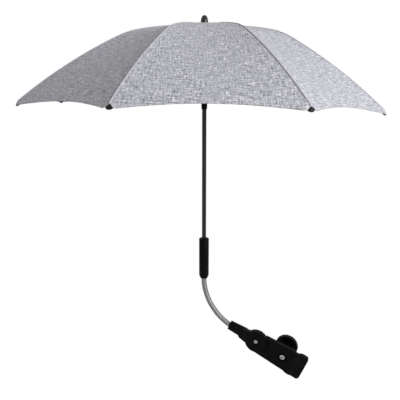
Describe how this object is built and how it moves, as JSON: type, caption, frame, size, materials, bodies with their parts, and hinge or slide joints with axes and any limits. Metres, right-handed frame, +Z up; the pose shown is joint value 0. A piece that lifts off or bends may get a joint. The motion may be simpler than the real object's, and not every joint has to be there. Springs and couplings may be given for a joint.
{
  "type": "pram parasol",
  "caption": "Small round parasol with a grey melange cloth canopy, black pole, flexible steel neck and a black screw clamp for a pram handle.",
  "frame": {"origin": "centre of the tube that the clamp grips", "axes": "+Z up along the pole, +X from the pole towards the clamp, +Y away from the side with the bolt heads"},
  "size_m": [0.6966, 0.708, 0.7371],
  "materials": {
    "black_plastic": "matte moulded black",
    "tip_plastic": "matte moulded black",
    "rubber": "matte",
    "bright_steel": "zinc plated",
    "neck_steel": "satin",
    "rib_steel": "black lacquer",
    "black_tube": "satin black lacquer",
    "canopy_cloth": "grey melange plain weave"
  },
  "bodies": {
    "clamp": {"front_jaw": "black_plastic", "front_pad": "rubber", "clamp_bolt": "bright_steel", "jaw_pin": "bright_steel", "hinge_bolt": "bright_steel", "hinge_nut": "bright_steel"},
    "rear_jaw": {"rear_jaw": "black_plastic", "rear_pad": "rubber"},
    "knob_slider": {"knob_washer": "bright_steel"},
    "knob": {"knob": "black_plastic"},
    "arm": {"socket_arm": "black_plastic", "gooseneck_lower": "neck_steel"},
    "neck": {"gooseneck_middle": "neck_steel"},
    "sleeve": {"gooseneck_upper": "neck_steel", "sleeve": "black_plastic"},
    "pole": {"pole": "black_tube", "stop_pin": "bright_steel", "notch": "black_plastic", "notch_ring": "bright_steel", "crown_washer": "black_plastic", "finial": "black_plastic", "canopy": "canopy_cloth"},
    "runner": {"runner": "black_plastic"},
    "rib_1": {"rib_1": "rib_steel"},
    "rib_end_1": {"rib_end_1": "rib_steel", "rib_tip_1": "tip_plastic"},
    "stretcher_1": {"stretcher_1": "rib_steel"},
    "rib_2": {"rib_2": "rib_steel"},
    "rib_end_2": {"rib_end_2": "rib_steel", "rib_tip_2": "tip_plastic"},
    "stretcher_2": {"stretcher_2": "rib_steel"},
    "rib_3": {"rib_3": "rib_steel"},
    "rib_end_3": {"rib_end_3": "rib_steel", "rib_tip_3": "tip_plastic"},
    "stretcher_3": {"stretcher_3": "rib_steel"},
    "rib_4": {"rib_4": "rib_steel"},
    "rib_end_4": {"rib_end_4": "rib_steel", "rib_tip_4": "tip_plastic"},
    "stretcher_4": {"stretcher_4": "rib_steel"},
    "rib_5": {"rib_5": "rib_steel"},
    "rib_end_5": {"rib_end_5": "rib_steel", "rib_tip_5": "tip_plastic"},
    "stretcher_5": {"stretcher_5": "rib_steel"},
    "rib_6": {"rib_6": "rib_steel"},
    "rib_end_6": {"rib_end_6": "rib_steel", "rib_tip_6": "tip_plastic"},
    "stretcher_6": {"stretcher_6": "rib_steel"},
    "rib_7": {"rib_7": "rib_steel"},
    "rib_end_7": {"rib_end_7": "rib_steel", "rib_tip_7": "tip_plastic"},
    "stretcher_7": {"stretcher_7": "rib_steel"},
    "rib_8": {"rib_8": "rib_steel"},
    "rib_end_8": {"rib_end_8": "rib_steel", "rib_tip_8": "tip_plastic"},
    "stretcher_8": {"stretcher_8": "rib_steel"}
  },
  "joints": [
    {"name": "knob_travel", "type": "slide", "parent": "clamp", "child": "knob_slider", "axis": [0, 1, 0], "range_m": [0, 0.008]},
    {"name": "knob_turn", "type": "hinge", "parent": "knob_slider", "child": "knob", "pos_m": [-0.02133, -0.0045, 0.00862], "axis": [0, 1, 0], "range_deg": [0, 1440]},
    {"name": "jaw_swing", "type": "hinge", "parent": "clamp", "child": "rear_jaw", "pos_m": [-0.03894, 0, 0.01573], "axis": [0.3746, 0, 0.9272], "range_deg": [0, 15]},
    {"name": "arm_tilt", "type": "hinge", "parent": "clamp", "child": "arm", "pos_m": [-0.07914, -0.0045, 0.0337], "axis": [0, 1, 0], "range_deg": [-70, 75]},
    {"name": "neck_bend", "type": "hinge", "parent": "arm", "child": "neck", "pos_m": [-0.17379, -0.0045, 0.08322], "axis": [0, 1, 0], "range_deg": [-40, 40], "deforming": ["gooseneck_lower", "gooseneck_middle"]},
    {"name": "neck_sway", "type": "hinge", "parent": "neck", "child": "sleeve", "pos_m": [-0.19509, -0.0045, 0.11881], "axis": [0.9361, 0, 0.3518], "range_deg": [-40, 40], "deforming": ["gooseneck_upper"]},
    {"name": "pole_turn", "type": "hinge", "parent": "sleeve", "child": "pole", "pos_m": [-0.20251, -0.0045, 0.53453], "axis": [0, 0, 1], "continuous": true},
    {"name": "runner_slide", "type": "slide", "parent": "pole", "child": "runner", "axis": [0, 0, -1], "range_m": [0, 0.2039], "deforming": ["canopy"]},
    {"name": "rib_fold_1", "type": "hinge", "parent": "pole", "child": "rib_1", "pos_m": [-0.19451, -0.0045, 0.67853], "axis": [0, 1, 0], "range_deg": [0, 79.37]},
    {"name": "rib_flex_1", "type": "hinge", "parent": "rib_1", "child": "rib_end_1", "pos_m": [-0.05251, -0.0045, 0.66203], "axis": [0, 1, 0], "range_deg": [-31.9, 0]},
    {"name": "stretcher_fold_1", "type": "hinge", "parent": "rib_1", "child": "stretcher_1", "pos_m": [-0.05251, -0.0045, 0.66203], "axis": [0, 1, 0], "range_deg": [-134.52, 0]},
    {"name": "rib_fold_2", "type": "hinge", "parent": "pole", "child": "rib_2", "pos_m": [-0.19685, 0.00116, 0.67853], "axis": [-0.7071, 0.7071, 0], "range_deg": [0, 79.37]},
    {"name": "rib_flex_2", "type": "hinge", "parent": "rib_2", "child": "rib_end_2", "pos_m": [-0.09644, 0.10157, 0.66203], "axis": [-0.7071, 0.7071, 0], "range_deg": [-28.51, 0]},
    {"name": "stretcher_fold_2", "type": "hinge", "parent": "rib_2", "child": "stretcher_2", "pos_m": [-0.09644, 0.10157, 0.66203], "axis": [-0.7071, 0.7071, 0], "range_deg": [-134.52, 0]},
    {"name": "rib_fold_3", "type": "hinge", "parent": "pole", "child": "rib_3", "pos_m": [-0.20251, 0.0035, 0.67853], "axis": [-1, 0, 0], "range_deg": [0, 79.37]},
    {"name": "rib_flex_3", "type": "hinge", "parent": "rib_3", "child": "rib_end_3", "pos_m": [-0.20251, 0.1455, 0.66203], "axis": [-1, 0, 0], "range_deg": [-27.05, 0]},
    {"name": "stretcher_fold_3", "type": "hinge", "parent": "rib_3", "child": "stretcher_3", "pos_m": [-0.20251, 0.1455, 0.66203], "axis": [-1, 0, 0], "range_deg": [-134.52, 0]},
    {"name": "rib_fold_4", "type": "hinge", "parent": "pole", "child": "rib_4", "pos_m": [-0.20816, 0.00116, 0.67853], "axis": [-0.7071, -0.7071, 0], "range_deg": [0, 79.37]},
    {"name": "rib_flex_4", "type": "hinge", "parent": "rib_4", "child": "rib_end_4", "pos_m": [-0.30857, 0.10157, 0.66203], "axis": [-0.7071, -0.7071, 0], "range_deg": [-27.05, 0]},
    {"name": "stretcher_fold_4", "type": "hinge", "parent": "rib_4", "child": "stretcher_4", "pos_m": [-0.30857, 0.10157, 0.66203], "axis": [-0.7071, -0.7071, 0], "range_deg": [-134.52, 0]},
    {"name": "rib_fold_5", "type": "hinge", "parent": "pole", "child": "rib_5", "pos_m": [-0.21051, -0.0045, 0.67853], "axis": [0, -1, 0], "range_deg": [0, 79.37]},
    {"name": "rib_flex_5", "type": "hinge", "parent": "rib_5", "child": "rib_end_5", "pos_m": [-0.35251, -0.0045, 0.66203], "axis": [0, -1, 0], "range_deg": [-27.05, 0]},
    {"name": "stretcher_fold_5", "type": "hinge", "parent": "rib_5", "child": "stretcher_5", "pos_m": [-0.35251, -0.0045, 0.66203], "axis": [0, -1, 0], "range_deg": [-134.52, 0]},
    {"name": "rib_fold_6", "type": "hinge", "parent": "pole", "child": "rib_6", "pos_m": [-0.20816, -0.01016, 0.67853], "axis": [0.7071, -0.7071, 0], "range_deg": [0, 79.37]},
    {"name": "rib_flex_6", "type": "hinge", "parent": "rib_6", "child": "rib_end_6", "pos_m": [-0.30857, -0.11057, 0.66203], "axis": [0.7071, -0.7071, 0], "range_deg": [-27.05, 0]},
    {"name": "stretcher_fold_6", "type": "hinge", "parent": "rib_6", "child": "stretcher_6", "pos_m": [-0.30857, -0.11057, 0.66203], "axis": [0.7071, -0.7071, 0], "range_deg": [-134.52, 0]},
    {"name": "rib_fold_7", "type": "hinge", "parent": "pole", "child": "rib_7", "pos_m": [-0.20251, -0.0125, 0.67853], "axis": [1, 0, 0], "range_deg": [0, 79.37]},
    {"name": "rib_flex_7", "type": "hinge", "parent": "rib_7", "child": "rib_end_7", "pos_m": [-0.20251, -0.1545, 0.66203], "axis": [1, 0, 0], "range_deg": [-27.05, 0]},
    {"name": "stretcher_fold_7", "type": "hinge", "parent": "rib_7", "child": "stretcher_7", "pos_m": [-0.20251, -0.1545, 0.66203], "axis": [1, 0, 0], "range_deg": [-134.52, 0]},
    {"name": "rib_fold_8", "type": "hinge", "parent": "pole", "child": "rib_8", "pos_m": [-0.19685, -0.01016, 0.67853], "axis": [0.7071, 0.7071, 0], "range_deg": [0, 79.37]},
    {"name": "rib_flex_8", "type": "hinge", "parent": "rib_8", "child": "rib_end_8", "pos_m": [-0.09644, -0.11057, 0.66203], "axis": [0.7071, 0.7071, 0], "range_deg": [-28.02, 0]},
    {"name": "stretcher_fold_8", "type": "hinge", "parent": "rib_8", "child": "stretcher_8", "pos_m": [-0.09644, -0.11057, 0.66203], "axis": [0.7071, 0.7071, 0], "range_deg": [-134.52, 0]}
  ],
  "couplings": [
    {"joint": "knob_travel", "follows": "knob_turn", "m_per_rad": 0.00031831},
    {"joint": "jaw_swing", "follows": "knob_turn", "ratio": 0.010417},
    {"joint": "rib_fold_1", "follows": "runner_slide", "rad_per_m": 6.794},
    {"joint": "rib_flex_1", "follows": "runner_slide", "rad_per_m": -2.7307},
    {"joint": "stretcher_fold_1", "follows": "runner_slide", "rad_per_m": -11.515},
    {"joint": "rib_fold_2", "follows": "runner_slide", "rad_per_m": 6.794},
    {"joint": "rib_flex_2", "follows": "runner_slide", "rad_per_m": -2.4401},
    {"joint": "stretcher_fold_2", "follows": "runner_slide", "rad_per_m": -11.515},
    {"joint": "rib_fold_3", "follows": "runner_slide", "rad_per_m": 6.794},
    {"joint": "rib_flex_3", "follows": "runner_slide", "rad_per_m": -2.3156},
    {"joint": "stretcher_fold_3", "follows": "runner_slide", "rad_per_m": -11.515},
    {"joint": "rib_fold_4", "follows": "runner_slide", "rad_per_m": 6.794},
    {"joint": "rib_flex_4", "follows": "runner_slide", "rad_per_m": -2.3156},
    {"joint": "stretcher_fold_4", "follows": "runner_slide", "rad_per_m": -11.515},
    {"joint": "rib_fold_5", "follows": "runner_slide", "rad_per_m": 6.794},
    {"joint": "rib_flex_5", "follows": "runner_slide", "rad_per_m": -2.3156},
    {"joint": "stretcher_fold_5", "follows": "runner_slide", "rad_per_m": -11.515},
    {"joint": "rib_fold_6", "follows": "runner_slide", "rad_per_m": 6.794},
    {"joint": "rib_flex_6", "follows": "runner_slide", "rad_per_m": -2.3156},
    {"joint": "stretcher_fold_6", "follows": "runner_slide", "rad_per_m": -11.515},
    {"joint": "rib_fold_7", "follows": "runner_slide", "rad_per_m": 6.794},
    {"joint": "rib_flex_7", "follows": "runner_slide", "rad_per_m": -2.3156},
    {"joint": "stretcher_fold_7", "follows": "runner_slide", "rad_per_m": -11.515},
    {"joint": "rib_fold_8", "follows": "runner_slide", "rad_per_m": 6.794},
    {"joint": "rib_flex_8", "follows": "runner_slide", "rad_per_m": -2.3986},
    {"joint": "stretcher_fold_8", "follows": "runner_slide", "rad_per_m": -11.515}
  ]
}
